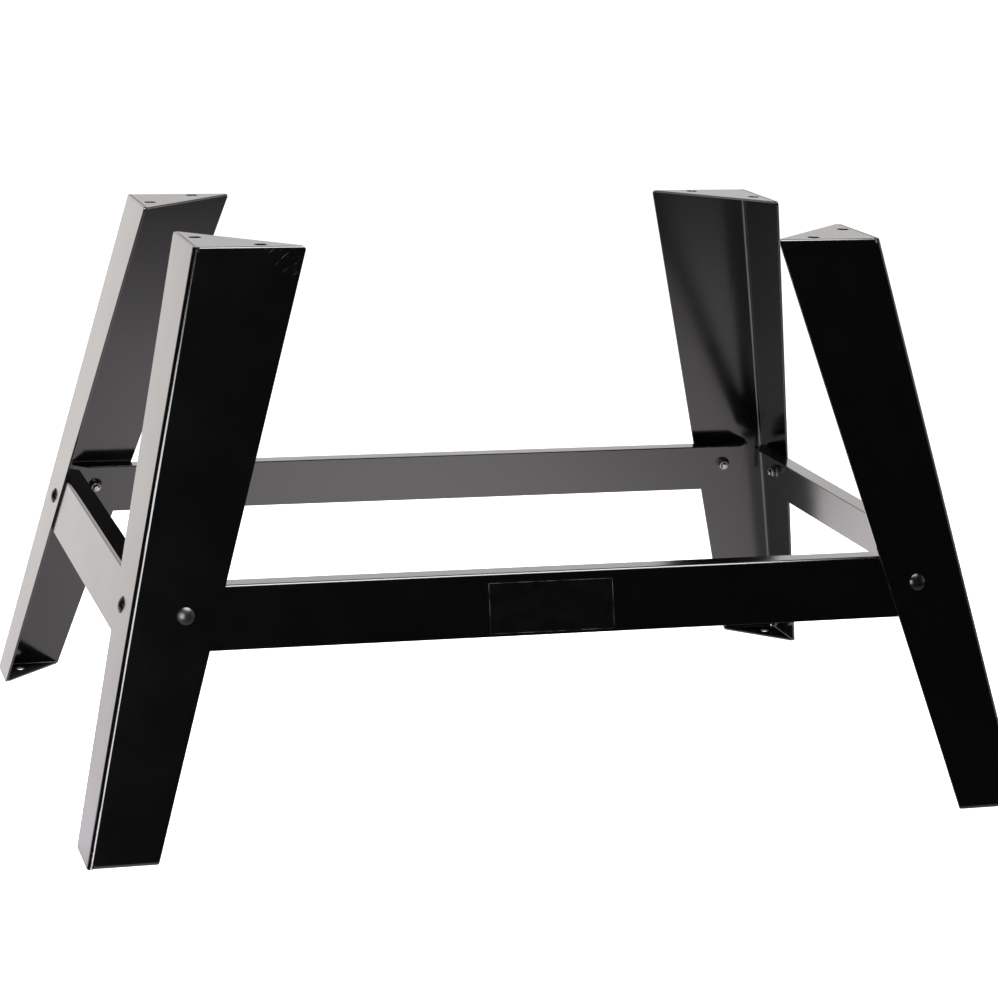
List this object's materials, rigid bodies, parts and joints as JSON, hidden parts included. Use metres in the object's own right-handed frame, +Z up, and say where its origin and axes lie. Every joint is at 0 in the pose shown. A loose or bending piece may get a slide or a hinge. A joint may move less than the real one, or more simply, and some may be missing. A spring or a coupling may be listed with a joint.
{
  "type": "bolt-together machine stand",
  "caption": "Open stand of splayed folded-sheet legs joined by angle rails with coach bolts; holes in the top flanges carry a bench machine.",
  "frame": {"origin": "on the floor, in the middle of the four feet", "axes": "+X along the long side, +Y from the front (the side with the blank label) to the rear, +Z up"},
  "size_m": [0.848, 0.62, 0.5],
  "materials": {
    "leg_paint": "gloss black stove paint on folded sheet steel",
    "rail_paint": "gloss black stove paint on folded sheet steel",
    "bolt_black": "blackened steel, semi gloss, domed",
    "nut_black": "blackened steel, semi gloss, plain bolt end"
  },
  "bodies": {
    "root": {"front_left_leg": "leg_paint", "front_right_leg": "leg_paint", "rear_left_leg": "leg_paint", "rear_right_leg": "leg_paint", "front_rail": "rail_paint", "rear_rail": "rail_paint", "left_end_rail": "rail_paint", "right_end_rail": "rail_paint", "front_left_front_bolt": "bolt_black", "front_left_end_bolt": "bolt_black", "front_right_front_bolt": "bolt_black", "front_right_end_bolt": "bolt_black", "rear_left_rear_bolt": "bolt_black", "rear_left_end_bolt": "bolt_black", "rear_right_rear_bolt": "bolt_black", "rear_right_end_bolt": "bolt_black", "front_left_front_nut": "nut_black", "front_left_end_nut": "nut_black", "front_right_front_nut": "nut_black", "front_right_end_nut": "nut_black", "rear_left_rear_nut": "nut_black", "rear_left_end_nut": "nut_black", "rear_right_rear_nut": "nut_black", "rear_right_end_nut": "nut_black"}
  },
  "joints": []
}
